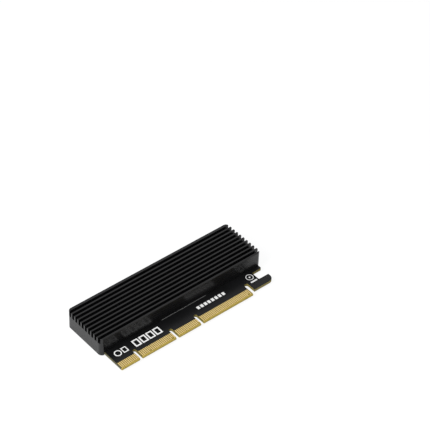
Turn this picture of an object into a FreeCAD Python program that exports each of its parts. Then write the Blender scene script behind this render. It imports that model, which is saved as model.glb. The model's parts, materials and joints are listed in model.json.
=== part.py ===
import FreeCAD, Part
import math
import os
import Sketcher

# NVMe adapter card: a x16 edge board, with a finned aluminium shell screwed over it from the back.
# Millimetres. X runs along the card towards the hook, Y from the contacts to the back, Z up.
# The origin is the middle of the back plate's lower face, on which the card lies.

V = FreeCAD.Vector
doc = FreeCAD.newDocument("nvme_adapter_card")

# ---------------------------------------------------------------- driving dimensions
SIZES = [
    # board
    ("board_depth", 39.9), ("board_thickness", 1.57),
    ("hook_length", 13.3), ("hook_front", 1.9), ("hook_corner", 3.1), ("hook_tip", 0.3),
    ("slot_length", 6.4), ("slot_front", 6.45), ("slot_width", 5.5), ("slot_corner", 0.6),
    ("bevel_length", 0.6), ("bevel_depth", 0.35),
    # edge contacts
    ("contact_pitch", 1.0), ("contact_width", 0.7), ("contact_back", 4.4), ("contact_height", 0.05),
    ("contact_short", 1.0), ("first_contact", 0.65), ("last_margin", 0.95),
    ("key_gap", 3.0), ("key_width", 1.9), ("relief_width", 2.05), ("notch_depth", 6.8),
    ("hook_gap", 2.5), ("hook_gap_depth", 7.9),
    # finned shell
    ("overlap_left", 2.2), ("overlap_back", 1.82), ("board_gap", 0.15), ("far_end", 9.6),
    ("shell_height", 9.4), ("lip_depth", 1.85), ("shell_corner", 2.2),
    ("fin_pitch", 2.6), ("fin_thickness", 0.9), ("back_fin", 1.5), ("fin_depth", 3.3),
    ("fin_edge", 0.12), ("top_edge", 0.15), ("front_edge", 0.4),
    ("bay_left", 8.6), ("bay_room", 1.0), ("bay_side_gap", 0.25), ("bay_top_gap", 0.8), ("bay_corner", 1.5),
    # back plate
    ("plate_thickness", 1.5), ("plate_end_inset", 3.4), ("plate_side_inset", 2.0), ("plate_corner", 2.0),
    ("pad_recess", 0.6), ("recess_end_inset", 6.5), ("recess_side_inset", 2.0),
    # case screws
    ("screw_end_inset", 3.0), ("screw_side_inset", 3.4), ("screw_diameter", 2.0), ("screw_play", 0.2),
    ("screw_length", 6.0), ("head_diameter", 3.8), ("head_height", 1.0), ("thread_play", 0.1),
    ("hole_spare", 0.6), ("cross_width", 0.5), ("cross_length", 1.9), ("cross_depth", 0.6),
    # socket
    ("socket_gap", 0.9), ("socket_depth", 8.7), ("socket_width", 21.9), ("socket_height", 4.2),
    ("mouth_depth", 4.2), ("mouth_width", 19.9), ("mouth_height", 0.95), ("mouth_level", 2.5),
    ("key_rib", 1.2), ("key_place", 16.1), ("entry_step", 1.1), ("entry_depth", 1.6),
    ("lead_pitch", 0.5), ("lead_width", 0.2), ("lead_length", 0.9), ("lead_height", 0.15),
    ("tab_thickness", 0.3), ("tab_length", 2.4), ("tab_height", 1.8),
    # module fixing
    ("module_length", 80.0), ("middle_module", 60.0), ("short_module", 42.0), ("module_insert", 4.0),
    ("standoff_diameter", 5.5), ("standoff_height", 2.45),
    ("shank_diameter", 3.5), ("shank_play", 0.1), ("shelf_diameter", 3.9), ("shelf_depth", 0.6),
    ("standoff_room", 1.0),
    ("module_screw_head", 4.4), ("module_screw_rise", 0.7), ("module_screw_length", 2.2),
    # small parts
    ("bulk_length", 2.0), ("bulk_width", 1.25), ("bulk_height", 0.85), ("bulk_pitch", 2.2),
    ("chip_length", 1.0), ("chip_width", 0.5), ("chip_height", 0.4), ("chip_pitch", 1.4),
    ("terminal_share", 0.22), ("parts_gap", 1.6),
]
FIN_COUNT = 11
TONGUES = (range(1, 12), range(12, 33), range(35, 49), range(51, 83))
SHORT_FRONT = (17, 31, 48, 81)
SHORT_BACK = (1,)
KEY_AFTER = 11
KEY_CONTACTS = range(59, 67)
SOCKET_LEADS = 75
OVERRUN = "1"  # how far a cutting outline runs past the solid that it cuts

sheet = doc.addObject("Spreadsheet::Sheet", "sizes")
for row, (alias, value) in enumerate(SIZES, start=1):
    sheet.set("A%d" % row, alias)
    sheet.set("B%d" % row, str(value))
    sheet.setAlias("B%d" % row, alias)
doc.recompute()

# ---------------------------------------------------------------- worked-out places
# Each is an expression on the sheet, measured in the document's frame unless it says otherwise.
def contact_place(number):
    """Distance of a contact's middle from the board's left end, as an expression."""
    distance = "(sizes.first_contact + sizes.contact_pitch * %d" % (number - 1)
    if number > KEY_AFTER:
        distance += " + sizes.key_gap - sizes.contact_pitch"
    return distance + ")"


TONGUES_END = "(%s + sizes.last_margin)" % contact_place(TONGUES[-1][-1])
BOARD_LENGTH = "(%s + sizes.hook_gap + sizes.hook_length)" % TONGUES_END
MODULE_START = "(sizes.bay_left + sizes.socket_gap + sizes.socket_depth - sizes.module_insert)"
SHELL_LENGTH = "(%s + sizes.module_length + sizes.far_end)" % MODULE_START
SHELL_WIDTH = "(sizes.fin_pitch * %d + sizes.back_fin)" % (FIN_COUNT - 1)
SHELL_LEFT = "(-%s / 2)" % SHELL_LENGTH
SHELL_FRONT = "(-%s / 2)" % SHELL_WIDTH
BOARD_LEFT = "(%s + sizes.overlap_left)" % SHELL_LEFT
BOARD_FRONT = "(%s / 2 - sizes.overlap_back - sizes.board_depth)" % SHELL_WIDTH
BOARD_BOTTOM = "sizes.plate_thickness"
BOARD_TOP = "(sizes.plate_thickness + sizes.board_thickness)"
SHELL_BOTTOM = "(%s - sizes.lip_depth)" % BOARD_TOP
PLATE_LENGTH = "(%s - 2 * sizes.plate_end_inset)" % SHELL_LENGTH
PLATE_WIDTH = "(%s - 2 * sizes.plate_side_inset)" % SHELL_WIDTH
SCREW_X = "(%s / 2 - sizes.screw_end_inset)" % PLATE_LENGTH
SCREW_Y = "(%s / 2 - sizes.screw_side_inset)" % PLATE_WIDTH
SOCKET_LEFT = "(%s + sizes.bay_left + sizes.socket_gap)" % SHELL_LEFT
MODULE_LEFT = "(%s + %s)" % (SHELL_LEFT, MODULE_START)
STANDOFF_X = "(%s + sizes.module_length)" % MODULE_LEFT
BAY_WIDTH = "(sizes.socket_width + 2 * sizes.tab_thickness + 2 * sizes.bay_side_gap)"
BAY_HEIGHT = "(sizes.socket_height + sizes.bay_top_gap)"


def value_of(expression):
    """The number that an expression on the sheet comes to now."""
    return float(sheet.evalExpression(expression))


# ---------------------------------------------------------------- helpers
def place(thing, x="0", y="0", z="0"):
    for axis, expression in (("x", x), ("y", y), ("z", z)):
        thing.setExpression(".Placement.Base." + axis, expression)


def new_body(name, x="0", y="0", z="0"):
    body = doc.addObject("PartDesign::Body", name)
    body.Label = name
    place(body, x, y, z)
    return body


def new_sketch(body, name, plane="XY_Plane", level=None):
    """A sketch on one of the body's origin planes, raised by an expression if one is given."""
    sketch = body.newObject("Sketcher::SketchObject", name)
    support = [part for part in body.Origin.OriginFeatures if part.Role == plane][0]
    sketch.AttachmentSupport = (support, [""])
    sketch.MapMode = "FlatFace"
    if level is not None:
        sketch.setExpression(".AttachmentOffset.Base.z", level)
    return sketch


def bind(sketch, kind, elements, expression):
    """One driven distance of a sketch."""
    value = value_of(expression)
    number = sketch.addConstraint(Sketcher.Constraint(kind, *elements, value))
    name = "size%d" % number
    sketch.renameConstraint(number, name)
    sketch.setExpression("Constraints." + name, expression)


def add_rectangle(sketch, left, front, right, back):
    """A rectangle whose four sides are distances from the sketch's origin."""
    a, b = value_of(left), value_of(front)
    c, d = value_of(right), value_of(back)
    corners = [V(a, b, 0), V(c, b, 0), V(c, d, 0), V(a, d, 0)]
    first = sketch.GeometryCount
    for index in range(4):
        sketch.addGeometry(Part.LineSegment(corners[index], corners[(index + 1) % 4]))
    for index in range(4):
        after = first + (index + 1) % 4
        sketch.addConstraint(Sketcher.Constraint("Coincident", first + index, 2, after, 1))
        direction = "Horizontal" if index % 2 == 0 else "Vertical"
        sketch.addConstraint(Sketcher.Constraint(direction, first + index))
    bind(sketch, "DistanceX", (-1, 1, first, 1), left)
    bind(sketch, "DistanceX", (-1, 1, first, 2), right)
    bind(sketch, "DistanceY", (-1, 1, first, 1), front)
    bind(sketch, "DistanceY", (-1, 1, first + 2, 1), back)


def add_round_slot(sketch, middle, width, front, end):
    """A slot across the front edge with a full round at its inner end."""
    x, half = value_of(middle), value_of(width) / 2
    low, top = value_of(front), value_of(end) - half
    first = sketch.GeometryCount
    sketch.addGeometry(Part.LineSegment(V(x - half, low, 0), V(x + half, low, 0)))
    sketch.addGeometry(Part.LineSegment(V(x + half, low, 0), V(x + half, top, 0)))
    circle = Part.Circle(V(x, top, 0), V(0, 0, 1), half)
    sketch.addGeometry(Part.ArcOfCircle(circle, 0, math.pi))
    sketch.addGeometry(Part.LineSegment(V(x - half, top, 0), V(x - half, low, 0)))
    sketch.addConstraint(Sketcher.Constraint("Coincident", first, 2, first + 1, 1))
    sketch.addConstraint(Sketcher.Constraint("Coincident", first + 3, 2, first, 1))
    sketch.addConstraint(Sketcher.Constraint("Tangent", first + 1, 2, first + 2, 1))
    sketch.addConstraint(Sketcher.Constraint("Tangent", first + 2, 2, first + 3, 1))
    sketch.addConstraint(Sketcher.Constraint("Horizontal", first))
    sketch.addConstraint(Sketcher.Constraint("Vertical", first + 1))
    bind(sketch, "DistanceX", (-1, 1, first + 2, 3), middle)
    bind(sketch, "Radius", (first + 2,), "%s / 2" % width)
    bind(sketch, "DistanceY", (-1, 1, first, 1), front)
    bind(sketch, "DistanceY", (-1, 1, first + 2, 3), "%s - %s / 2" % (end, width))


def add_circle(sketch, x, y, diameter):
    centre = V(value_of(x), value_of(y), 0)
    number = sketch.addGeometry(Part.Circle(centre, V(0, 0, 1), value_of(diameter) / 2))
    bind(sketch, "DistanceX", (-1, 1, number, 3), x)
    bind(sketch, "DistanceY", (-1, 1, number, 3), y)
    bind(sketch, "Diameter", (number,), diameter)


def add_outline(sketch, points):
    """A closed outline of straight sides through points that are pairs of expressions."""
    spots = [V(value_of(x), value_of(y), 0) for x, y in points]
    first = sketch.GeometryCount
    count = len(spots)
    for index in range(count):
        sketch.addGeometry(Part.LineSegment(spots[index], spots[(index + 1) % count]))
    for index in range(count):
        after = first + (index + 1) % count
        sketch.addConstraint(Sketcher.Constraint("Coincident", first + index, 2, after, 1))
    for index, (x, y) in enumerate(points):
        bind(sketch, "DistanceX", (-1, 1, first + index, 1), x)
        bind(sketch, "DistanceY", (-1, 1, first + index, 1), y)


def pad(body, sketch, name, length):
    feature = body.newObject("PartDesign::Pad", name)
    feature.Profile = sketch
    feature.setExpression("Length", length)
    doc.recompute()
    return feature


def pocket(body, sketch, name, depth=None, upward=False):
    """A cut down from the sketch, or upward; without a depth it goes right through, both ways."""
    before = body.Shape.Volume
    feature = body.newObject("PartDesign::Pocket", name)
    feature.Profile = sketch
    feature.Reversed = upward
    if depth is None:
        feature.Type = "ThroughAll"
        feature.Midplane = True
    else:
        feature.setExpression("Length", depth)
    doc.recompute()
    if body.Shape.Volume > before - 1e-6:
        raise ValueError("the pocket %s cuts nothing" % name)
    return feature


def upright_edges(shape, spots, reach=0.02):
    """Names of the vertical edges that stand on given (x, y) spots of the body."""
    names = []
    for number, edge in enumerate(shape.Edges, start=1):
        box = edge.BoundBox
        if box.XLength > reach or box.YLength > reach or box.ZLength < reach:
            continue
        for x, y in spots:
            if abs(box.Center.x - x) < reach and abs(box.Center.y - y) < reach:
                names.append("Edge%d" % number)
    return names


def round_uprights(body, name, base, spots, radius):
    """A fillet on the vertical edges at spots, given as pairs of expressions in the body's frame."""
    origin = body.Placement.Base
    places = [(value_of(x) + origin.x, value_of(y) + origin.y) for x, y in spots]
    feature = body.newObject("PartDesign::Fillet", name)
    feature.Base = (base, upright_edges(body.Shape, places))
    feature.setExpression("Radius", radius)
    doc.recompute()
    return feature


def level_edges(shape, height, reach=0.01):
    """Names of the edges that lie at one height."""
    names = []
    for number, edge in enumerate(shape.Edges, start=1):
        box = edge.BoundBox
        if abs(box.ZMin - height) < reach and abs(box.ZMax - height) < reach:
            names.append("Edge%d" % number)
    return names


def corners(left, front, right, back):
    return [(left, front), (right, front), (right, back), (left, back)]


def boxes_in_one(name, boxes):
    """One node made of like boxes: each is (x, y, z, length, width, height) as expressions."""
    solids = []
    for number, (x, y, z, length, width, height) in enumerate(boxes, start=1):
        box = doc.addObject("Part::Box", "%s_%d" % (name, number))
        box.setExpression("Length", length)
        box.setExpression("Width", width)
        box.setExpression("Height", height)
        place(box, x, y, z)
        solids.append(box)
    group = doc.addObject("Part::Compound", name)
    group.Label = name
    group.Links = solids
    return group


# ---------------------------------------------------------------- circuit board
def make_circuit_board():
    """Body frame: left end, contact edge and lower face of the board at zero."""
    body = new_body("circuit_board", BOARD_LEFT, BOARD_FRONT, BOARD_BOTTOM)
    outline = new_sketch(body, "board_outline")
    add_rectangle(outline, "0", "0", BOARD_LENGTH, "sizes.board_depth")
    pad(body, outline, "board_sheet", "sizes.board_thickness")

    # Beyond the last contact the edge stands back, and a slot above it leaves the hook.
    beyond = "%s + %s" % (BOARD_LENGTH, OVERRUN)
    hook_cut = new_sketch(body, "hook_relief")
    add_rectangle(hook_cut, TONGUES_END, "-" + OVERRUN, beyond, "sizes.hook_front")
    pocket(body, hook_cut, "hook_relief_cut")
    slot_left = "(%s - sizes.slot_length)" % BOARD_LENGTH
    slot_back = "(sizes.slot_front + sizes.slot_width)"
    slot = new_sketch(body, "hook_slot")
    add_rectangle(slot, slot_left, "sizes.slot_front", beyond, slot_back)
    pocket(body, slot, "hook_slot_cut")

    notches = new_sketch(body, "notches")
    for before, after in zip(TONGUES[:-1], TONGUES[1:]):
        middle = "((%s + %s) / 2)" % (contact_place(before[-1]), contact_place(after[0]))
        width = "sizes.key_width" if before[-1] == KEY_AFTER else "sizes.relief_width"
        add_round_slot(notches, middle, width, "-" + OVERRUN, "sizes.notch_depth")
    add_round_slot(notches, "(%s + sizes.hook_gap / 2)" % TONGUES_END, "sizes.hook_gap", "-" + OVERRUN,
                   "sizes.hook_gap_depth")
    pocket(body, notches, "notch_cuts")

    # The mating edge is bevelled on both faces.
    bevel = new_sketch(body, "edge_bevel", "YZ_Plane")
    top, bottom = "sizes.board_thickness", "0"
    above, outside = "%s + %s" % (top, OVERRUN), "-" + OVERRUN
    add_outline(bevel, [("0", top + " - sizes.bevel_depth"), ("sizes.bevel_length", top),
                        ("sizes.bevel_length", above), (outside, above),
                        (outside, top + " - sizes.bevel_depth")])
    add_outline(bevel, [("0", "sizes.bevel_depth"), (outside, "sizes.bevel_depth"), (outside, outside),
                        ("sizes.bevel_length", outside), ("sizes.bevel_length", bottom)])
    bevels = pocket(body, bevel, "edge_bevels")

    tip = round_uprights(body, "hook_tip_round", bevels, [(BOARD_LENGTH, "sizes.slot_front")],
                         "sizes.hook_tip")
    nose = round_uprights(body, "hook_corner_round", tip, [(BOARD_LENGTH, "sizes.hook_front")],
                          "sizes.hook_corner")
    inner = [(slot_left, "sizes.slot_front"), (slot_left, slot_back), (BOARD_LENGTH, slot_back)]
    round_uprights(body, "slot_round", nose, inner, "sizes.slot_corner")

    # Clearance holes for the case screws, and the standoff's holes for three module lengths.
    holes = new_sketch(body, "board_holes")
    for side_x in ("-", "+"):
        for side_y in ("-", "+"):
            add_circle(holes, "(-%s %s %s)" % (BOARD_LEFT, side_x, SCREW_X),
                       "(-%s %s %s)" % (BOARD_FRONT, side_y, SCREW_Y),
                       "(sizes.screw_diameter + sizes.screw_play)")
    for reach in ("module_length", "middle_module", "short_module"):
        add_circle(holes, "(%s + sizes.%s - %s)" % (MODULE_LEFT, reach, BOARD_LEFT),
                   "(-%s)" % BOARD_FRONT, "(sizes.shank_diameter + sizes.shank_play)")
    pocket(body, holes, "board_hole_cuts")
    return body


def make_edge_contacts():
    """Gold contacts on both faces, one under the other; the presence contacts are shorter."""
    for name, short_ones, level in (
            ("edge_contacts_front", SHORT_FRONT, BOARD_TOP),
            ("edge_contacts_back", SHORT_BACK, "(%s - sizes.contact_height)" % BOARD_BOTTOM)):
        boxes = []
        for tongue in TONGUES:
            for number in tongue:
                front = "sizes.bevel_length"
                if number in short_ones:
                    front += " + sizes.contact_short"
                boxes.append(("%s + %s - sizes.contact_width / 2" % (BOARD_LEFT, contact_place(number)),
                              "%s + %s" % (BOARD_FRONT, front), level, "sizes.contact_width",
                              "sizes.contact_back - (%s)" % front, "sizes.contact_height"))
        boxes_in_one(name, boxes)


# ---------------------------------------------------------------- finned shell
def make_finned_heatsink():
    """Body frame: outer left, front and lowest corner of the shell at zero."""
    body = new_body("finned_heatsink", SHELL_LEFT, SHELL_FRONT, SHELL_BOTTOM)
    length, width = SHELL_LENGTH, SHELL_WIDTH
    top = "(sizes.lip_depth + sizes.shell_height)"
    footprint = new_sketch(body, "shell_footprint")
    add_rectangle(footprint, "0", "0", length, width)
    block = pad(body, footprint, "shell_block", top)
    rounded = round_uprights(body, "shell_corners", block, corners("0", "0", length, width),
                             "sizes.shell_corner")
    broken = body.newObject("PartDesign::Chamfer", "top_edges")
    broken.Base = (rounded, level_edges(body.Shape, value_of(top) + body.Placement.Base.z))
    broken.setExpression("Size", "sizes.top_edge")
    doc.recompute()

    # The front fin has a wider break than the others, which runs from end to end.
    front_break = new_sketch(body, "front_break", "YZ_Plane")
    outside, over = "-" + OVERRUN, "(%s + %s)" % (top, OVERRUN)
    add_outline(front_break, [("0", "%s - sizes.front_edge" % top), ("sizes.front_edge", top),
                              ("sizes.front_edge", over), (outside, over),
                              (outside, "%s - sizes.front_edge" % top)])
    pocket(body, front_break, "front_break_cut")

    # The board drops into a rebate that is open at the front, so the long wall stands on it.
    rebate = new_sketch(body, "board_rebate")
    add_rectangle(rebate, "sizes.overlap_left - sizes.board_gap", "-" + OVERRUN,
                  "sizes.overlap_left + %s + sizes.board_gap" % BOARD_LENGTH,
                  "%s - sizes.overlap_back + sizes.board_gap" % width)
    pocket(body, rebate, "board_rebate_cut", "sizes.lip_depth", upward=True)

    bay = new_sketch(body, "module_bay")
    side = "(%s - %s) / 2" % (width, BAY_WIDTH)
    bay_depth = "sizes.lip_depth + " + BAY_HEIGHT
    bay_right = "(%s + sizes.bay_room - %s)" % (STANDOFF_X, SHELL_LEFT)
    add_rectangle(bay, "sizes.bay_left", side, bay_right, "%s - %s" % (width, side))
    cut = pocket(body, bay, "module_bay_cut", bay_depth, upward=True)
    round_uprights(body, "bay_corners", cut, corners("sizes.bay_left", side, bay_right,
                   "%s - %s" % (width, side)), "sizes.bay_corner")

    # A round end to the bay leaves room for the standoff between two screw holes.
    nook = new_sketch(body, "standoff_nook")
    add_circle(nook, "%s - %s" % (STANDOFF_X, SHELL_LEFT), "%s / 2" % width,
               "sizes.standoff_diameter + 2 * sizes.standoff_room")
    pocket(body, nook, "standoff_nook_cut", bay_depth, upward=True)

    # Ten like channels leave eleven fins, whose upper edges are broken.
    channel = new_sketch(body, "fin_channel", "YZ_Plane")
    floor, rim = "(%s - sizes.fin_depth)" % top, "(%s - sizes.fin_edge)" % top
    near, far = "sizes.fin_thickness", "sizes.fin_pitch"
    add_outline(channel, [(near, floor), (far, floor), (far, rim), (far + " + sizes.fin_edge", top),
                          (far + " + sizes.fin_edge", over), (near + " - sizes.fin_edge", over),
                          (near + " - sizes.fin_edge", top), (near, rim)])
    first = pocket(body, channel, "first_channel")
    channels = body.newObject("PartDesign::LinearPattern", "channels")
    channels.Originals = [first]
    across = [part for part in body.Origin.OriginFeatures if part.Role == "Y_Axis"][0]
    channels.Direction = (across, [""])
    channels.Occurrences = FIN_COUNT - 1
    channels.setExpression("Length", "sizes.fin_pitch * %d" % (FIN_COUNT - 2))
    body.Tip = channels
    doc.recompute()

    # Blind holes for the case screws, in the solid ends beside the bay.
    holes = new_sketch(body, "screw_holes")
    for side_x in ("-", "+"):
        for side_y in ("-", "+"):
            add_circle(holes, "%s / 2 %s %s" % (length, side_x, SCREW_X),
                       "%s / 2 %s %s" % (width, side_y, SCREW_Y),
                       "sizes.screw_diameter + sizes.thread_play")
    reach = "sizes.lip_depth + sizes.screw_length - %s + sizes.hole_spare" % BOARD_TOP
    pocket(body, holes, "screw_hole_cuts", reach, upward=True)
    return body


# ---------------------------------------------------------------- back plate and its screws
def make_back_plate():
    """Body frame: left and front of the plate at zero, its lower face down."""
    body = new_body("back_plate", "-%s / 2" % PLATE_LENGTH, "-%s / 2" % PLATE_WIDTH)
    length, width = PLATE_LENGTH, PLATE_WIDTH
    outline = new_sketch(body, "plate_outline")
    add_rectangle(outline, "0", "0", length, width)
    sheet_metal = pad(body, outline, "plate_sheet", "sizes.plate_thickness")
    round_uprights(body, "plate_corners", sheet_metal, corners("0", "0", length, width),
                   "sizes.plate_corner")

    recess = new_sketch(body, "pad_recess", level="sizes.plate_thickness")
    add_rectangle(recess, "sizes.recess_end_inset", "sizes.recess_side_inset",
                  "%s - sizes.recess_end_inset" % length, "%s - sizes.recess_side_inset" % width)
    pocket(body, recess, "pad_recess_cut", "sizes.pad_recess")

    # Countersunk holes from the lower face.
    holes = new_sketch(body, "plate_holes")
    for side_x in ("-", "+"):
        for side_y in ("-", "+"):
            add_circle(holes, "%s / 2 %s %s" % (length, side_x, SCREW_X),
                       "%s / 2 %s %s" % (width, side_y, SCREW_Y),
                       "sizes.screw_diameter + sizes.screw_play")
    drilled = body.newObject("PartDesign::Hole", "countersunk_holes")
    drilled.Profile = holes
    doc.recompute()
    drilled.Reversed = True
    drilled.DepthType = "ThroughAll"
    drilled.Threaded = False
    drilled.setExpression("Diameter", "sizes.screw_diameter + sizes.screw_play")
    drilled.HoleCutType = "Countersink"
    drilled.HoleCutCustomValues = True
    drilled.setExpression("HoleCutDiameter", "sizes.head_diameter + sizes.screw_play")
    drilled.HoleCutCountersinkAngle = 90
    doc.recompute()
    return body


def add_cross(body, name, x_plane_level, length, width, depth):
    """A cross recess cut upward from a level of the body."""
    for direction, (long_side, short_side) in (("a", (length, width)), ("b", (width, length))):
        sketch = new_sketch(body, "%s_%s" % (name, direction), level=x_plane_level)
        add_rectangle(sketch, "-%s / 2" % long_side, "-%s / 2" % short_side,
                      "%s / 2" % long_side, "%s / 2" % short_side)
        pocket(body, sketch, "%s_cut_%s" % (name, direction), depth, upward=True)


def make_case_screws():
    """Four flat-head screws, their heads flush with the plate's lower face."""
    screw = new_body("case_screw_pattern")
    profile = new_sketch(screw, "screw_profile", "XZ_Plane")
    head, shank = "sizes.head_diameter / 2", "sizes.screw_diameter / 2"
    add_outline(profile, [("0", "0"), (head, "0"), (shank, "%s - %s" % (head, shank)),
                          (shank, "sizes.screw_length"), ("0", "sizes.screw_length")])
    turned = screw.newObject("PartDesign::Revolution", "screw_turned")
    turned.Profile = profile
    turned.ReferenceAxis = (profile, ["V_Axis"])
    turned.Angle = 360
    doc.recompute()
    add_cross(screw, "drive", "0", "sizes.cross_length", "sizes.cross_width", "sizes.cross_depth")
    copies = []
    for side_x in ("-", "+"):
        for side_y in ("-", "+"):
            copy = doc.addObject("App::Link", "case_screw")
            copy.LinkedObject = screw
            place(copy, "0 %s %s" % (side_x, SCREW_X), "0 %s %s" % (side_y, SCREW_Y))
            copies.append(copy)
    group = doc.addObject("Part::Compound", "case_screws")
    group.Label = "case_screws"
    group.Links = copies


# ---------------------------------------------------------------- socket
def make_ssd_socket():
    """Body frame: back of the socket at zero, its middle on the X axis, board face at zero height."""
    body = new_body("ssd_socket", SOCKET_LEFT, "0", BOARD_TOP)
    half = "sizes.socket_width / 2"
    base = new_sketch(body, "socket_base")
    add_rectangle(base, "0", "-" + half, "sizes.socket_depth", half)
    pad(body, base, "socket_block", "sizes.socket_height")

    # The lower jaw of the mouth is longer than the upper one.
    step = new_sketch(body, "entry_step", level="sizes.socket_height")
    outer, mouth_end = "%s + %s" % (half, OVERRUN), "sizes.socket_depth + " + OVERRUN
    add_rectangle(step, "sizes.socket_depth - sizes.entry_depth", "-(%s)" % outer, mouth_end, outer)
    pocket(body, step, "entry_step_cut", "sizes.entry_step")

    mouth = new_sketch(body, "mouth", level="sizes.mouth_level + sizes.mouth_height / 2")
    key = "(sizes.key_place - sizes.mouth_width / 2)"
    start = "sizes.socket_depth - sizes.mouth_depth"
    add_rectangle(mouth, start, "-sizes.mouth_width / 2", mouth_end, "%s - sizes.key_rib / 2" % key)
    add_rectangle(mouth, start, "%s + sizes.key_rib / 2" % key, mouth_end, "sizes.mouth_width / 2")
    pocket(body, mouth, "mouth_cut", "sizes.mouth_height")
    return body


def make_socket_metal():
    """Solder leads of the two rows, set off by half a pitch, and a solder tab at each end."""
    leads = []
    for number in range(1, SOCKET_LEADS + 1):
        if number in KEY_CONTACTS:
            continue
        across = "(%d - %d) * sizes.lead_pitch / 2" % (number, (SOCKET_LEADS + 1) // 2)
        if number % 2:
            x = "%s - sizes.lead_length" % SOCKET_LEFT
        else:
            x = "%s + sizes.socket_depth" % SOCKET_LEFT
        leads.append((x, "%s - sizes.lead_width / 2" % across, BOARD_TOP, "sizes.lead_length",
                      "sizes.lead_width", "sizes.lead_height"))
    boxes_in_one("socket_leads", leads)

    tabs = []
    for y in ("-sizes.socket_width / 2 - sizes.tab_thickness", "sizes.socket_width / 2"):
        tabs.append(("%s + (sizes.socket_depth - sizes.tab_length) / 2" % SOCKET_LEFT, y, BOARD_TOP,
                     "sizes.tab_length", "sizes.tab_thickness", "sizes.tab_height"))
    boxes_in_one("socket_tabs", tabs)


# ---------------------------------------------------------------- module fixing
def make_module_fixing():
    """A swaged brass standoff at the far end of the module's place, with its screw driven home."""
    standoff = new_body("ssd_standoff", STANDOFF_X, "0", BOARD_TOP)
    profile = new_sketch(standoff, "standoff_profile", "XZ_Plane")
    bore = "sizes.screw_diameter / 2 + sizes.thread_play / 2"
    flange, shank, shelf = ("sizes.standoff_diameter / 2", "sizes.shank_diameter / 2",
                            "sizes.shelf_diameter / 2")
    seat = "sizes.standoff_height - sizes.shelf_depth"
    add_outline(profile, [(bore, "-sizes.board_thickness"), (shank, "-sizes.board_thickness"),
                          (shank, "0"), (flange, "0"), (flange, seat), (shelf, seat),
                          (shelf, "sizes.standoff_height"), (bore, "sizes.standoff_height")])
    turned = standoff.newObject("PartDesign::Revolution", "standoff_turned")
    turned.Profile = profile
    turned.ReferenceAxis = (profile, ["V_Axis"])
    turned.Angle = 360
    doc.recompute()

    # Body frame of the screw: the top of its head at zero, its shank pointing up before it is turned over.
    screw = new_body("ssd_screw", STANDOFF_X, "0", "%s + sizes.standoff_height" % BOARD_TOP)
    outline = new_sketch(screw, "module_screw_profile", "XZ_Plane")
    stem, head = "sizes.screw_diameter / 2", "sizes.module_screw_head / 2"
    add_outline(outline, [("0", "-sizes.module_screw_length"), (stem, "-sizes.module_screw_length"),
                          (stem, "0"), (head, "0"), (head, "sizes.module_screw_rise * 0.6"),
                          (head + " * 0.8", "sizes.module_screw_rise"), ("0", "sizes.module_screw_rise")])
    spun = screw.newObject("PartDesign::Revolution", "module_screw_turned")
    spun.Profile = outline
    spun.ReferenceAxis = (outline, ["V_Axis"])
    spun.Angle = 360
    doc.recompute()
    add_cross(screw, "module_drive", "sizes.module_screw_rise - sizes.cross_depth",
              "sizes.cross_length", "sizes.cross_width", "sizes.cross_depth")


# ---------------------------------------------------------------- small parts
def make_small_parts(name, end_name, count, x, pitch, size):
    """A row of soldered chips across the board: their bodies and their metal ends are two nodes."""
    length, width, height = ("sizes.%s_%s" % (size, side) for side in ("length", "width", "height"))
    end = "(%s * sizes.terminal_share)" % length
    middles, ends = [], []
    for index in range(count):
        y = "(%d - %s) * %s - %s / 2" % (index, (count - 1) / 2, pitch, width)
        middles.append(("%s + %s" % (x, end), y, BOARD_TOP, "%s - 2 * %s" % (length, end), width, height))
        ends.append((x, y, BOARD_TOP, end, width, height))
        ends.append(("%s + %s - %s" % (x, length, end), y, BOARD_TOP, end, width, height))
    boxes_in_one(name, middles)
    boxes_in_one(end_name, ends)


make_circuit_board()
make_edge_contacts()
make_finned_heatsink()
make_back_plate()
make_case_screws()
make_ssd_socket()
make_socket_metal()
make_module_fixing()
ROW_ONE = "(%s + sizes.socket_depth + sizes.lead_length + sizes.parts_gap)" % SOCKET_LEFT
ROW_TWO = "(%s + sizes.bulk_length + sizes.parts_gap)" % ROW_ONE
ROW_THREE = "(%s + sizes.chip_length + sizes.parts_gap)" % ROW_TWO
make_small_parts("bulk_capacitors", "bulk_terminals", 4, ROW_ONE, "sizes.bulk_pitch", "bulk")
make_small_parts("bypass_capacitors", "bypass_terminals", 8, ROW_TWO, "sizes.chip_pitch", "chip")
make_small_parts("strap_resistors", "strap_terminals", 5, ROW_THREE, "sizes.chip_pitch", "chip")
doc.recompute()

# ---------------------------------------------------------------- checks and files
NODES = ["circuit_board", "edge_contacts_front", "edge_contacts_back", "finned_heatsink", "back_plate",
         "case_screws", "ssd_socket", "socket_leads", "socket_tabs", "ssd_standoff", "ssd_screw",
         "bulk_capacitors", "bulk_terminals", "bypass_capacitors", "bypass_terminals",
         "strap_resistors", "strap_terminals"]
for thing in doc.Objects:
    if {"Invalid", "Error"} & set(thing.State):
        raise ValueError("%s is in state %s" % (thing.Name, thing.State))
os.makedirs("parts", exist_ok=True)
for node in NODES:
    shape = doc.getObjectsByLabel(node)[0].Shape
    if shape.isNull() or not shape.isValid():
        raise ValueError("%s has no valid shape" % node)
for node in NODES:
    shape = doc.getObjectsByLabel(node)[0].Shape
    shape.exportStep(os.path.join("parts", node + ".step"))
    print("%-22s %3d solids %10.2f mm3" % (node, len(shape.Solids), shape.Volume))
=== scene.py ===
# %% [markdown]
# # A drive adapter card for a computer's expansion slot
#
# The card is a black circuit board with gold contacts on its front edge. A finned aluminium shell covers
# a solid-state drive module and is screwed on from behind, through a flat back plate.
# The solids come ready made, so this script dresses them: it gives each one a finish, prints the board
# and sets up a small studio.
# Everything is in metres. X runs along the card, Y from the contacts to the back, and Z up.

# %% Load the card
import json
import math

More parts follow.
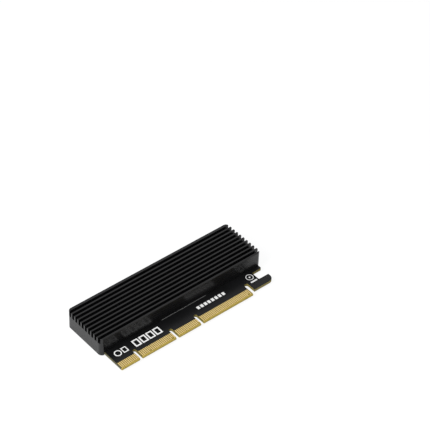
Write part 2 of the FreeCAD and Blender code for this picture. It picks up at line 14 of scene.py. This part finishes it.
import bpy
from mathutils import Quaternion, Vector
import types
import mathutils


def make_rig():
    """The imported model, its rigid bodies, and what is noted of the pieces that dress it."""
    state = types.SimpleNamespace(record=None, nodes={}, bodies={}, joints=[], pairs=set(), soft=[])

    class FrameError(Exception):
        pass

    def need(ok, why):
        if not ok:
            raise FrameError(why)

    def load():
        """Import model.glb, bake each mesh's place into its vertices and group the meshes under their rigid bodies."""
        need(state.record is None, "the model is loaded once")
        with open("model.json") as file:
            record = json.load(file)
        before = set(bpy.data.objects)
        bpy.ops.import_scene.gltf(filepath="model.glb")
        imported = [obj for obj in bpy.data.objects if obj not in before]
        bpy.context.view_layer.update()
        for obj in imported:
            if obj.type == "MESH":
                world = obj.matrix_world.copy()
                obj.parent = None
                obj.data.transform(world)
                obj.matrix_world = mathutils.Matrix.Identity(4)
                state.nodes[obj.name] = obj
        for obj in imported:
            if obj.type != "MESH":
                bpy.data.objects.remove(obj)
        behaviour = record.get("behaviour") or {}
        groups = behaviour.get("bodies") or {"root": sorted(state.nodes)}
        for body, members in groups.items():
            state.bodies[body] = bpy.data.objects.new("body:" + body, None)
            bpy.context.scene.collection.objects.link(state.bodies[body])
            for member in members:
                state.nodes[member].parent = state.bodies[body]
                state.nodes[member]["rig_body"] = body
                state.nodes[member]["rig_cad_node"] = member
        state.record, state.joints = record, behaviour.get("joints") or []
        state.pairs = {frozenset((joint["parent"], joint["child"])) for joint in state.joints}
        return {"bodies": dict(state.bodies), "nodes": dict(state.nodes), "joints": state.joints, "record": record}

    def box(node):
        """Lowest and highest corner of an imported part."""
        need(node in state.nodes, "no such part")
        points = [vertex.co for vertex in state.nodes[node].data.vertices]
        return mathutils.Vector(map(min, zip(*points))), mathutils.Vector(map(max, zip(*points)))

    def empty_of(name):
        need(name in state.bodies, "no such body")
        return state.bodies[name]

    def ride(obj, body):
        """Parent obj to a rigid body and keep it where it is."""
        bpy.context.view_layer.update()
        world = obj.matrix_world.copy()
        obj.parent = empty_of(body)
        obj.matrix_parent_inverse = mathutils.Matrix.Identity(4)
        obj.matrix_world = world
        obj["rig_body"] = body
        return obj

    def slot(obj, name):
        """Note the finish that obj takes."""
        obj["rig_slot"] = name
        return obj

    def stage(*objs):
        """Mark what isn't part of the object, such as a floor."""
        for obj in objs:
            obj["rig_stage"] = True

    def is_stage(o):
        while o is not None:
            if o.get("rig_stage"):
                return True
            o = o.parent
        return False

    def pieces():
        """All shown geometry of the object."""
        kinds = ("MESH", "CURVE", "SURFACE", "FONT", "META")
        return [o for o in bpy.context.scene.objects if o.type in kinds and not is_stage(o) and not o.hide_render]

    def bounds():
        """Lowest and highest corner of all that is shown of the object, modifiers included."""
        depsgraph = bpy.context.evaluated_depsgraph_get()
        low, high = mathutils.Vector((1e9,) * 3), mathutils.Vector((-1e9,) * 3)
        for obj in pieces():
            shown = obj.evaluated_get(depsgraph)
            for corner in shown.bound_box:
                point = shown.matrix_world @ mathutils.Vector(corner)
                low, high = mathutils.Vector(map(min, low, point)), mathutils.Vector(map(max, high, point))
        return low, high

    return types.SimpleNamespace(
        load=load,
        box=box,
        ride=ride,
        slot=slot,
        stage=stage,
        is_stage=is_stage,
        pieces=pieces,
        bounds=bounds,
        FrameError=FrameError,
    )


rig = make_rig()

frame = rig.load()
solid_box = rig.bounds()
nodes = frame["nodes"]
MM = 0.001
print("solids:", ", ".join(sorted(nodes)))

# %% [markdown]
# ## Places on the card
#
# A print has to stay on the board if the board changes, and a finish that changes at the contacts has to know
# where they end. Typed places would go stale, so each is worked out from the lowest and highest corner of a
# solid.

# %% Places that the solids give
board_low, board_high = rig.box("circuit_board")
contacts_low, contacts_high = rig.box("edge_contacts_front")
wall_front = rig.box("finned_heatsink")[0].y
contact_pitch = 1.0 * MM
contact_width = 0.7 * MM
first_contact = contacts_low.x + contact_width / 2
board_size = (board_high - board_low) / MM
print("board is %.1f x %.1f mm" % (board_size.x, board_size.y))

# %% [markdown]
# ## The camera
#
# Small products are shown through a long lens from about a metre, because a short one close by would make
# the near end look huge. The camera could be aimed with a Track To constraint. Here it is turned by three
# plain angles, which stay put if the card changes: how far it faces to the right, how far it looks down,
# and how far it leans.

# %% Camera
turn, tilt, lean = math.radians(41.588), math.radians(41.921), math.radians(2.419)
look = Vector((math.sin(turn) * math.cos(tilt), math.cos(turn) * math.cos(tilt), -math.sin(tilt)))

camera = bpy.data.objects.new("camera", bpy.data.cameras.new("camera"))
camera.location = (-0.43490, -0.52535, 0.66998)
camera.rotation_mode = "QUATERNION"
camera.rotation_quaternion = look.to_track_quat("-Z", "Y") @ Quaternion((0, 0, 1), lean)
camera.data.sensor_width = 36.0
camera.data.lens = 156.56
camera.data.clip_start, camera.data.clip_end = 0.05, 20.0
bpy.context.scene.collection.objects.link(camera)
bpy.context.scene.camera = camera
bpy.context.scene.view_settings.view_transform = "Standard"
print("camera is %.2f m from the card, lens %.0f mm" % (camera.location.length, camera.data.lens))

# %% [markdown]
# ## Shader nodes
#
# Floor, sky and finishes are all built from shader nodes, joined by links. In the editor that is a few
# clicks for each node. In a script it is a few lines for each, so one helper makes a node, sets it up and
# joins it, and small ones do the sums that come up again and again.


# %% Node helpers
def add_node(tree, kind, inputs=None, **settings):
    """A new shader node. Inputs are numbers, colours, or the outputs of other nodes."""
    node = tree.nodes.new("ShaderNode" + kind)
    for name, value in settings.items():
        setattr(node, name, value)
    for socket, value in (inputs or {}).items():
        if isinstance(value, bpy.types.NodeSocket):
            tree.links.new(value, node.inputs[socket])
        else:
            node.inputs[socket].default_value = value
    return node


def math_node(tree, operation, first, second=0.0):
    """The result of one sum, on one value or two."""
    return add_node(tree, "Math", {0: first, 1: second}, operation=operation).outputs[0]


def both(tree, first, second):
    """1 where two switches are 1."""
    return math_node(tree, "MULTIPLY", first, second)


def lookers(tree):
    """Two switches: one for what the camera sees straight, one for what mirrors and glass show."""
    path = add_node(tree, "LightPath")
    mirrors = math_node(tree, "MAXIMUM", path.outputs["Is Glossy Ray"], path.outputs["Is Transmission Ray"])
    return path.outputs["Is Camera Ray"], mirrors


print("node helpers ready")

# %% [markdown]
# ## The floor
#
# The card lies on a white sheet. Enough light to make the sheet pure white would wash out the card, so the
# sheet is a matt off-white that lets plain white show through, mostly for the camera and a little for
# mirrors. The rest is real shading, and so a soft shadow stays under the card.

# %% White floor
FLOOR_HALF = 3.0
FLOOR_DROP = 0.02 * MM  # keeps the floor from flickering through the card's lower face
FLOOR_WHITE, CAMERA_SHARE, MIRROR_SHARE = 1.06, 0.86, 0.15

floor_paint = bpy.data.materials.new("floor_paint")
floor_paint.use_nodes = True
tree = floor_paint.node_tree
tree.nodes.clear()
matt = add_node(tree, "BsdfDiffuse", {"Color": (0.86, 0.86, 0.86, 1)})
white = add_node(tree, "Emission", {"Color": (1, 1, 1, 1), "Strength": FLOOR_WHITE})
seen, mirrored = lookers(tree)
share = math_node(tree, "MAXIMUM", math_node(tree, "MULTIPLY", seen, CAMERA_SHARE),
                  math_node(tree, "MULTIPLY", mirrored, MIRROR_SHARE))
mix = add_node(tree, "MixShader", {0: share, 1: matt.outputs[0], 2: white.outputs[0]})
add_node(tree, "OutputMaterial", {"Surface": mix.outputs[0]})

floor_mesh = bpy.data.meshes.new("floor")
floor_mesh.from_pydata([(x * FLOOR_HALF, y * FLOOR_HALF, 0) for x, y in ((-1, -1), (1, -1), (1, 1), (-1, 1))],
                       [], [(0, 1, 2, 3)])
floor_mesh.materials.append(floor_paint)
floor = bpy.data.objects.new("floor", floor_mesh)
floor.location.z = -FLOOR_DROP
bpy.context.scene.collection.objects.link(floor)
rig.stage(floor)
print("floor laid, %.0f m square" % (2 * FLOOR_HALF))

# %% [markdown]
# ## The sky
#
# Black metal has hardly any colour of its own: what the eye sees on it is the room, mirrored faintly. An
# image of a studio could be wrapped round the scene. Three plain whites do the same here and are easier to
# balance: a slightly cool one that lights the card, one that its gloss mirrors, and one for the camera.

# %% White sky
SKY_LIGHT, SKY_MIRRORED, SKY_BEHIND = 0.5, 0.8, 1.0

sky = bpy.data.worlds.new("studio")
sky.use_nodes = True
bpy.context.scene.world = sky
tree = sky.node_tree
tree.nodes.clear()
light = add_node(tree, "Background", {"Color": (0.96, 0.98, 1.0, 1), "Strength": SKY_LIGHT})
gloss = add_node(tree, "Background", {"Color": (1, 1, 1, 1), "Strength": SKY_MIRRORED})
behind = add_node(tree, "Background", {"Color": (1, 1, 1, 1), "Strength": SKY_BEHIND})
seen, mirrored = lookers(tree)
mix = add_node(tree, "MixShader", {0: mirrored, 1: light.outputs[0], 2: gloss.outputs[0]})
mix = add_node(tree, "MixShader", {0: seen, 1: mix.outputs[0], 2: behind.outputs[0]})
add_node(tree, "OutputWorld", {"Surface": mix.outputs[0]})
print("sky strength is %.1f for light and %.1f in mirrors" % (SKY_LIGHT, SKY_MIRRORED))

# %% [markdown]
# ## The lamps
#
# An even sky alone would make every side the same grey. A lamp on the left brightens the card's left end and
# lets the long wall fall dark, which shows the form. A wide one overhead softens it. Both are area lamps,
# because a small hard lamp would put sharp glints on the satin metal.


# %% Lamps
def hang_lamp(name, place, size, watts):
    """A square soft lamp that faces the card."""
    lamp = bpy.data.objects.new(name, bpy.data.lights.new(name, "AREA"))
    lamp.data.size = size
    lamp.data.energy = watts
    lamp.location = place
    lamp.rotation_mode = "QUATERNION"
    lamp.rotation_quaternion = (-Vector(place)).to_track_quat("-Z", "Y")
    bpy.context.scene.collection.objects.link(lamp)
    print("%s hangs %.2f m away" % (name, Vector(place).length))


hang_lamp("key_lamp", (-0.5, -0.05, 0.42), 0.35, 4.2)
hang_lamp("top_lamp", (0.2, -0.3, 1.5), 1.2, 2.0)

# %% [markdown]
# ## How a finish is made
#
# A finish has one main shader, the Principled BSDF, which can be metal, plastic or lacquer by a few plain
# values. Every finish here starts with those, so one helper makes the material, sets them, and hands back
# what the later steps need. Another gives the finish to a solid, in all of its material slots.


# %% Finish helper
def new_finish(name, colour, roughness, metallic=0.0, specular=0.5):
    """A material with one main shader. Returns it with its node tree, shader and place on the card."""
    finish = bpy.data.materials.new(name)
    finish.use_nodes = True
    tree = finish.node_tree
    shader = tree.nodes["Principled BSDF"]
    shader.inputs["Base Color"].default_value = (*colour, 1)
    shader.inputs["Roughness"].default_value = roughness
    shader.inputs["Metallic"].default_value = metallic
    shader.inputs["Specular IOR Level"].default_value = specular
    place = add_node(tree, "TexCoord").outputs["Object"]
    return finish, tree, shader, place


def dress(node, finish):
    """Gives a solid its finish."""
    for slot in nodes[node].material_slots:
        slot.material = finish
    print("%s wears %s" % (node, finish.name))


print("finish helpers ready")

# %% [markdown]
# What makes a finish look real is small change from place to place. It could be painted on an unwrapped
# mesh, but a noise pattern needs no unwrapping. Each pattern here is fixed to the card, so it stays put
# when the card is seen from another side.


# %% Pattern helpers
def cloud(tree, place, scale, detail=3.0):
    """A soft random pattern, mostly from 0.3 to 0.7. The scale is in patches per metre."""
    return add_node(tree, "TexNoise", {"Vector": place, "Scale": scale, "Detail": detail,
                                       "Roughness": 0.55}).outputs[0]


def streaks(tree, place, x, y, z, detail=2.0):
    """A pattern with its own scale along each axis, so that it runs in lines."""
    stretched = add_node(tree, "VectorMath", {0: place, 1: (x, y, z)}, operation="MULTIPLY").outputs[0]
    return cloud(tree, stretched, 1.0, detail)


def between(tree, value, low, high, from_low=0.3, from_high=0.7):
    """Spreads a pattern between two values."""
    return add_node(tree, "MapRange", {"Value": value, "From Min": from_low, "From Max": from_high,
                                       "To Min": low, "To Max": high}).outputs[0]


def two_colours(tree, amount, first, second):
    """A colour between two, which may be the outputs of other nodes."""
    mix = add_node(tree, "Mix", data_type="RGBA")
    tree.links.new(amount, mix.inputs["Factor"])
    for socket, colour in ((mix.inputs[6], first), (mix.inputs[7], second)):
        if isinstance(colour, bpy.types.NodeSocket):
            tree.links.new(colour, socket)
        else:
            socket.default_value = (*colour, 1)
    return mix.outputs[2]


print("pattern helpers ready")

# %% [markdown]
# A pattern can change three things: the colour, the roughness, and the height. Height could be real
# geometry, but grain this fine would need millions of faces, so a Bump node only tilts the light on it.


# %% Surface helpers
def mottle(tree, shader, pattern, first, second):
    """Lets the colour drift between two, as a pattern says."""
    tree.links.new(two_colours(tree, between(tree, pattern, 0.0, 1.0), first, second),
                   shader.inputs["Base Color"])


def vary_gloss(tree, shader, pattern, smooth, rough):
    """Lets the roughness drift between two values."""
    tree.links.new(between(tree, pattern, smooth, rough), shader.inputs["Roughness"])


def raise_grain(tree, shader, height, depth, strength=0.5, below=None):
    """Presses a pattern into the surface, to a depth in metres, on top of another one if given."""
    bump = add_node(tree, "Bump", {"Height": height, "Distance": depth, "Strength": strength})
    if below is not None:
        tree.links.new(below, bump.inputs["Normal"])
    tree.links.new(bump.outputs[0], shader.inputs["Normal"])
    return bump.outputs[0]


print("surface helpers ready")

# %% [markdown]
# ## Black anodised aluminium
#
# The shell is a length of extruded aluminium, blasted with fine beads, anodised in an acid bath and dyed
# black. Its skin is a hard, dark, slightly glassy layer. A plain dark colour would look like plastic, so
# the finish adds three scales of detail: cloudy dye, long drawn lines from the die, and the grain of the
# beads. It isn't set to metallic, because the dyed skin hides the metal and only its clear surface mirrors.


# %% Finish of the shell
def anodised(name, dye, shine):
    """Black anodised aluminium, with drawn lines along the card."""
    finish, tree, shader, place = new_finish(name, dye, shine, specular=0.43)
    deep = tuple(part * 0.72 for part in dye)
    pale = tuple(part * 1.35 for part in dye)
    mottle(tree, shader, cloud(tree, place, 90.0, detail=4.0), deep, pale)
    drawn_lines = streaks(tree, place, 14.0, 2600.0, 2600.0)
    beads = cloud(tree, place, 5200.0, detail=1.0)
    vary_gloss(tree, shader, drawn_lines, shine - 0.05, shine + 0.06)
    grain = raise_grain(tree, shader, beads, 0.004 * MM)
    raise_grain(tree, shader, drawn_lines, 0.002 * MM, below=grain)
    return finish


dress("finned_heatsink", anodised("black_anodised_shell", (0.0036, 0.0036, 0.0040), 0.28))

# %% [markdown]
# The back plate is cut from rolled sheet and dyed in another batch. The same recipe serves, with a slightly
# paler dye and a little more shine, so that the two don't look like one piece.

# %% Finish of the back plate
dress("back_plate", anodised("black_anodised_plate", (0.0045, 0.0045, 0.0050), 0.26))

# %% [markdown]
# ## The circuit board
#
# A board is woven glass in resin, with copper on it and a coat of black lacquer, the solder mask. The mask
# ends where the contacts begin, so bare tan laminate shows between and below them, and cut edges show the
# layers of glass. The hook at the right end carries no contacts and keeps its mask. Separate materials
# would need the mesh to be split along each border. One material can do all of it, because it can look at
# which way a face points and where it lies.

# %% Where the board is bare
MASK_OVER_CONTACTS = 0.1 * MM
BAND_PAST_CONTACTS = 0.6 * MM
LEVEL_FROM = 0.5  # a face whose normal has less Z than this is a cut edge

board_finish, tree, shader, place = new_finish("black_solder_mask", (0.005, 0.005, 0.005), 0.3, specular=0.25)
facing = add_node(tree, "SeparateXYZ", {0: add_node(tree, "TexCoord").outputs["Normal"]})
where = add_node(tree, "SeparateXYZ", {0: place})
mask_front = contacts_high.y - MASK_OVER_CONTACTS
band_right = contacts_high.x + BAND_PAST_CONTACTS

cut_edge = math_node(tree, "LESS_THAN", math_node(tree, "ABSOLUTE", facing.outputs["Z"]), LEVEL_FROM)
in_band = both(tree, math_node(tree, "LESS_THAN", where.outputs["Y"], mask_front),
               math_node(tree, "LESS_THAN", where.outputs["X"], band_right))
bare = math_node(tree, "MAXIMUM", cut_edge, in_band)
print("mask starts %.1f mm behind the mating edge" % ((mask_front - board_low.y) / MM))

# %% [markdown]
# Bare laminate is not one colour. The mating edge is bevelled with a fine cutter and stays a clear yellow
# tan. The other edges come from a coarse router that leaves them olive and striped by the plies. The left
# end is darker still, which is painted shade for the shade it sits in. One tan for all of them would
# be simpler, but these edges catch the light, and their change of tone is what makes the board look cut.

# %% Laminate and its edges
BEVEL_REACH = 0.7 * MM
SHADED_END_REACH = 0.3 * MM

weave = cloud(tree, place, 1400.0, detail=2.0)
plies = add_node(tree, "TexWave", {"Vector": place, "Scale": 820.0, "Distortion": 1.2, "Detail": 1.0},
                 bands_direction="Z").outputs["Fac"]
laminate = two_colours(tree, between(tree, weave, 0.0, 1.0), (0.33, 0.245, 0.042), (0.43, 0.320, 0.065))
routed = two_colours(tree, between(tree, plies, 0.0, 0.55, 0.2, 0.9), (0.24, 0.195, 0.048),
                     (0.14, 0.110, 0.027))
# Painted shade: the board's left end gets a darker laminate colour standing in for the shade it lies in.
left_end_shade = math_node(tree, "LESS_THAN", where.outputs["X"], board_low.x + SHADED_END_REACH)
edge_tone_and_end_shade = two_colours(tree, left_end_shade, routed, (0.075, 0.068, 0.030))
mating = both(tree, in_band,
              math_node(tree, "LESS_THAN", where.outputs["Y"], board_low.y + BEVEL_REACH))
not_mating = math_node(tree, "SUBTRACT", 1.0, mating)
print("left end is dark for %.1f mm" % (SHADED_END_REACH / MM))

# %% [markdown]
# Between two contacts lies a strip of laminate only 0.3 mm wide. It lies in their shade and looks nearly
# black. Grooves cut between the contacts would do it too, at the cost of many faces. Here the distance to
# the nearest contact's middle finds the strips. It also finds the copper tracks of the next step, which
# leave the contacts along their middles.

# %% Strips between the contacts
STRIP_FROM = 0.34  # in contact pitches from the nearest contact's middle

along = math_node(tree, "DIVIDE", math_node(tree, "SUBTRACT", where.outputs["X"], first_contact),
                  contact_pitch)
turns = math_node(tree, "FRACT", math_node(tree, "ADD", along, 0.5))
off_middle = math_node(tree, "ABSOLUTE", math_node(tree, "SUBTRACT", turns, 0.5))
strip = both(tree, math_node(tree, "GREATER_THAN", off_middle, STRIP_FROM), not_mating)
laminate = two_colours(tree, strip, laminate, (0.024, 0.017, 0.006))
laminate = two_colours(tree, both(tree, cut_edge, not_mating), laminate, edge_tone_and_end_shade)
print("contacts are %.1f mm apart" % (contact_pitch / MM))

# %% [markdown]
# Tracks lie under the mask as faint ridges, one to a contact. They could be modelled, but a ridge as thin
# as a hair is seen only by its sheen, so a pattern is enough. They end at different places, where each one
# dives through the board, so their length comes from a pattern that changes only along the card.

# %% Tracks under the mask
TRACK_HALF = 0.13  # in contact pitches
TRACK_SHORTEST, TRACK_SPREAD = 1.0 * MM, 5.0 * MM

reach = streaks(tree, place, 700.0, 0.0, 0.0, detail=0.0)
track_end = math_node(tree, "ADD", contacts_high.y + TRACK_SHORTEST,
                      math_node(tree, "MULTIPLY", reach, TRACK_SPREAD))
track = both(tree, math_node(tree, "LESS_THAN", off_middle, TRACK_HALF),
             math_node(tree, "LESS_THAN", where.outputs["Y"], track_end))
print("tracks are %.2f mm wide" % (2 * TRACK_HALF * contact_pitch / MM))

# %% [markdown]
# Now the parts come together. The mask is a thin satin lacquer, a little cloudy, paler where a track lifts
# it, and smoother than the laminate. The bare places found above choose between the two.

# %% Finish of the board
MASK_ROUGHNESS, LAMINATE_ROUGHNESS = 0.30, 0.55
TRACK_SHOWS = 0.6

mask_cloud = cloud(tree, place, 160.0)
mask = two_colours(tree, between(tree, mask_cloud, 0.0, 1.0), (0.0030, 0.0031, 0.0034),
                   (0.0052, 0.0052, 0.0058))
mask = two_colours(tree, math_node(tree, "MULTIPLY", track, TRACK_SHOWS), mask, (0.010, 0.010, 0.011))
tree.links.new(two_colours(tree, bare, mask, laminate), shader.inputs["Base Color"])
tree.links.new(between(tree, bare, MASK_ROUGHNESS, LAMINATE_ROUGHNESS, 0.0, 1.0),
               shader.inputs["Roughness"])
ridges = both(tree, track, math_node(tree, "SUBTRACT", 1.0, bare))
raised_tracks = raise_grain(tree, shader, ridges, 0.03 * MM, 0.6)
raise_grain(tree, shader, weave, 0.006 * MM, below=raised_tracks)
dress("circuit_board", board_finish)

# %% [markdown]
# ## Gold contacts
#
# Edge contacts are copper, plated with nickel and a hard, thin gold that is made to be rubbed. It is a
# bright metal with fine lines along the way it slides into the slot. A plain yellow would look painted, so
# the shader is fully metallic and takes its colour from what it mirrors. The tone drifts a little from one
# contact to the next, which keeps the row from looking like one printed band.

# %% Finish of the gold
hard_gold, tree, shader, place = new_finish("hard_gold", (0.95, 0.71, 0.28), 0.30, metallic=1.0)
mottle(tree, shader, cloud(tree, place, 700.0), (0.91, 0.675, 0.25), (1.0, 0.765, 0.315))
rubbed = streaks(tree, place, 9000.0, 260.0, 260.0)
vary_gloss(tree, shader, rubbed, 0.24, 0.40)
raise_grain(tree, shader, rubbed, 0.004 * MM)
dress("edge_contacts_front", hard_gold)
dress("edge_contacts_back", hard_gold)

# %% [markdown]
# ## Small metal pieces
#
# The screws are headed cold from steel wire and plated. The standoff is turned brass under nickel, and the
# leads and chip ends are tin. Each could have a finish built by hand, but they are the same kind of surface
# in other colours. So one recipe makes them all: a metal colour, a faint stain, cloudy roughness and tool
# marks.


# %% Metal finishes
def turned_metal(name, colour, roughness, marks_scale=5000.0):
    """A plated metal with faint tool marks."""
    finish, tree, shader, place = new_finish(name, colour, roughness, metallic=1.0)
    darker = tuple(part * 0.8 for part in colour)
    mottle(tree, shader, cloud(tree, place, 900.0, detail=4.0), darker, colour)
    marks = cloud(tree, place, marks_scale, detail=2.0)
    vary_gloss(tree, shader, marks, roughness - 0.06, roughness + 0.08)
    raise_grain(tree, shader, marks, 0.003 * MM)
    return finish


plated_steel = turned_metal("plated_steel", (0.56, 0.56, 0.55), 0.28)
for node in ("case_screws", "ssd_screw"):
    dress(node, plated_steel)
dress("ssd_standoff", turned_metal("nickelled_brass", (0.78, 0.66, 0.42), 0.26))
solder_tin = turned_metal("solder_tin", (0.72, 0.72, 0.71), 0.34, 8000.0)
for node in ("socket_leads", "socket_tabs", "bulk_terminals", "bypass_terminals", "strap_terminals"):
    dress(node, solder_tin)

# %% [markdown]
# ## Plastic and ceramic pieces
#
# The socket is moulded plastic with a low sheen and a fine skin. The capacitors are fired ceramic, matt and
# a little speckled, and the resistors wear a dark glaze. None is a metal, and they differ only in colour,
# gloss and speckles, so again one recipe does instead of one for each.


# %% Plastic and ceramic finishes
def speckled(name, colour, roughness, speckle_scale, depth):
    """A non-metal with a fine skin and slight speckles."""
    finish, tree, shader, place = new_finish(name, colour, roughness)
    speckles = cloud(tree, place, speckle_scale)
    dark = tuple(part * 0.78 for part in colour)
    pale = tuple(part * 1.25 for part in colour)
    mottle(tree, shader, speckles, dark, pale)
    vary_gloss(tree, shader, speckles, roughness - 0.06, roughness + 0.08)
    raise_grain(tree, shader, speckles, depth)
    return finish


dress("ssd_socket", speckled("socket_plastic", (0.016, 0.016, 0.017), 0.42, 3000.0, 0.006 * MM))
for node in ("bulk_capacitors", "bypass_capacitors"):
    dress(node, speckled("fired_ceramic_" + node, (0.30, 0.19, 0.11), 0.5, 5200.0, 0.004 * MM))
dress("strap_resistors", speckled("resistor_glaze", (0.014, 0.014, 0.016), 0.3, 5200.0, 0.003 * MM))

# %% [markdown]
# ## Prints on the board
#
# White ink is screened on the mask in one pass, so all the marks of one side are a single, very thin piece.
# A print could be painted in the board's material, but as its own thin sheet it keeps sharp edges at any
# size. Each mark starts as a flat outline, and a frame is two outlines, one inside the other. The outlines
# are in millimetres from the board's front left corner.


# %% Outlines of marks
def box_outline(left, front, width, depth, corner=0.0):
    """Corners of a rectangle, rounded if a corner radius is given."""
    right, back = left + width, front + depth
    if not corner:
        return [(left, front), (right, front), (right, back), (left, back)]
    points = []
    centres = ((right - corner, back - corner), (left + corner, back - corner),
               (left + corner, front + corner), (right - corner, front + corner))
    for quarter, (x, y) in enumerate(centres):
        for step in range(7):
            angle = math.radians(quarter * 90 + step * 15)
            points.append((x + corner * math.cos(angle), y + corner * math.sin(angle)))
    return points


def round_outline(x, y, radius, steps=40):
    """Points round a circle."""
    angles = [math.tau * step / steps for step in range(steps)]
    return [(x + radius * math.cos(angle), y + radius * math.sin(angle)) for angle in angles]


def box_frame(left, front, width, depth, line, corner=0.0):
    """A rectangular line of a given width."""
    inner = box_outline(left + line, front + line, width - 2 * line, depth - 2 * line,
                        corner - line if corner else 0.0)
    return [box_outline(left, front, width, depth, corner), inner]


def ring(x, y, radius, line):
    """A round line of a given width."""
    return [round_outline(x, y, radius), round_outline(x, y, radius - line)]


print("a rounded box has %d corners" % len(box_outline(0, 0, 4, 4, corner=1)))

# %% [markdown]
# An outline becomes ink when a copy of it is set one thickness higher and faces join the two. A filled mark
# gets a wall round its edge and is closed below and above. A frame is joined in a circle, like a square
# tube: outside up, across, inside down, and back below. Blender can also extrude a flat face, but it adds
# the walls in an order that changes from run to run, and plain lists give the same mesh each time. The
# sheet floats a hair above the mask, because two faces at one height would flicker.

# %% Ink sheets
INK_THICKNESS = 0.02 * MM
INK_GAP = 0.002 * MM


def raise_marks(level, marks):
    """Corners and faces of all marks, from a height upwards. A mark is one outline, or two for a frame."""
    heights = (level, level + INK_THICKNESS)
    corners, faces = [], []

    def lay(outline, height):
        """Adds an outline at a height, and returns the numbers of its corners."""
        corners.extend((board_low.x + x * MM, board_low.y + y * MM, height) for x, y in outline)
        return list(range(len(corners) - len(outline), len(corners)))

    for outlines in marks:
        rims = [lay(outlines[0], height) for height in heights]
        if len(outlines) == 2:
            rims += [lay(outlines[1], height) for height in reversed(heights)]
            rims.append(rims[0])
        else:
            faces += [rims[1], rims[0][::-1]]
        for first, second in zip(rims, rims[1:]):
            for n in range(len(first)):
                m = (n + 1) % len(first)
                faces.append((first[n], first[m], second[m], second[n]))
    return corners, faces


def print_layer(name, level, marks, ink_finish):
    """One thin sheet of ink on the board, whose lower face lies at a height."""
    corners, faces = raise_marks(level, marks)
    mesh = bpy.data.meshes.new(name)
    mesh.from_pydata(corners, [], faces)
    mesh.materials.append(ink_finish)
    piece = bpy.data.objects.new(name, mesh)
    bpy.context.scene.collection.objects.link(piece)
    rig.ride(piece, "root")
    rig.slot(piece, "board")
    print("%s: %d marks, %d faces" % (name, len(marks), len(faces)))


print("ink is %.2f mm thick" % (INK_THICKNESS / MM))

# %% [markdown]
# Screened ink is matt and never quite even, because it is pushed through a fine mesh. An even white would
# look like a sticker, so a pattern of about that mesh's size breaks up the white and roughens its surface.

# %% White ink
white_ink, tree, shader, place = new_finish("white_ink", (0.86, 0.86, 0.84), 0.55)
screen_mesh = cloud(tree, place, 2600.0, detail=2.0)
mottle(tree, shader, screen_mesh, (0.78, 0.78, 0.77), (0.90, 0.90, 0.88))
raise_grain(tree, shader, screen_mesh, 0.004 * MM)
print("mixed", white_ink.name)

# %% [markdown]
# ## Marks on the front
#
# Boards carry a row of marks between the shell and the contacts. This one carries no words, and the row
# holds plain shapes only: a ring and a square by the first tongue, four open boxes and eight filled ones,
# and a dotted ring with a bar beside the hook. A drawing could be imported, but shapes this plain are
# shorter to write, and boxes that repeat come from a loop.

# %% Marks on the front
front_marks = [ring(4.7, 9.57, 2.0, 0.55), box_frame(7.4, 7.77, 3.0, 3.6, 0.5)]
for n in range(4):
    front_marks.append(box_frame(14.6 + n * 4.4, 7.27, 3.7, 4.7, 0.75))
for n in range(8):
    front_marks.append([box_outline(55.3 + n * 2.35, 8.57, 1.6, 2.0)])
front_marks.append(ring(91.0, 10.37, 2.1, 0.35))
front_marks.append([round_outline(91.0, 10.37, 0.5)])
front_marks.append([box_outline(89.0, 6.47, 4.1, 0.9)])
print_layer("prints_front", board_high.z + INK_GAP, front_marks, white_ink)

# %% [markdown]
# ## Marks on the back
#
# The back carries what a factory needs: a bare panel for a date stamp, boxes to tick, a bar, and a ring that
# shows which end is the first contact. The helpers of the front serve here too. A mirrored copy of the
# front would be less work, but it would repeat marks that no factory prints twice. This ink hangs below
# the board, so the sheet starts one thickness lower.

# %% Marks on the back
back_marks = [ring(3.7, 8.97, 1.5, 0.5), box_frame(15.7, 6.97, 17.0, 6.0, 0.3, corner=0.8)]
for n in range(6):
    back_marks.append(box_frame(51.7 + n * 3.2, 8.47, 2.4, 2.4, 0.3))
back_marks.append([box_outline(75.7, 8.77, 8.0, 1.6, corner=0.7)])
print_layer("prints_back", board_low.z - INK_GAP - INK_THICKNESS, back_marks, white_ink)

# %% [markdown]
# ## The hairline
#
# One hairline is printed where the shell's long wall stands on the board. It helps whoever fits the shell
# to see that it sits straight, so its place comes from the wall. It could be one of the front marks, but
# its ink is thin, grey and streaky, and so it is a sheet with a finish of its own.

# %% Hairline at the shell's foot
HAIRLINE_WIDTH, HAIRLINE_OFF_WALL = 0.15, 0.04  # in millimetres

thin_ink, tree, shader, place = new_finish("thin_ink", (0.10, 0.10, 0.10), 0.5)
mottle(tree, shader, streaks(tree, place, 600.0, 6000.0, 1.0), (0.22, 0.22, 0.22), (0.34, 0.34, 0.33))
hairline_front = (wall_front - board_low.y) / MM - HAIRLINE_OFF_WALL - HAIRLINE_WIDTH
hairline = [box_outline(35.9, hairline_front, 28.8, HAIRLINE_WIDTH)]
print_layer("hairline_front", board_high.z + INK_GAP, [hairline], thin_ink)

# %% [markdown] ## Close  Dressing a solid must not change its size. The box of the solids and the box of
# the finished model are written down side by side.

# %% Sizes and finish
json.dump({"cad": [list(corner) for corner in solid_box], "visual": [list(corner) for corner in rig.bounds()]},
          open("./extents.json", "w"))
print(open("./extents.json").read())
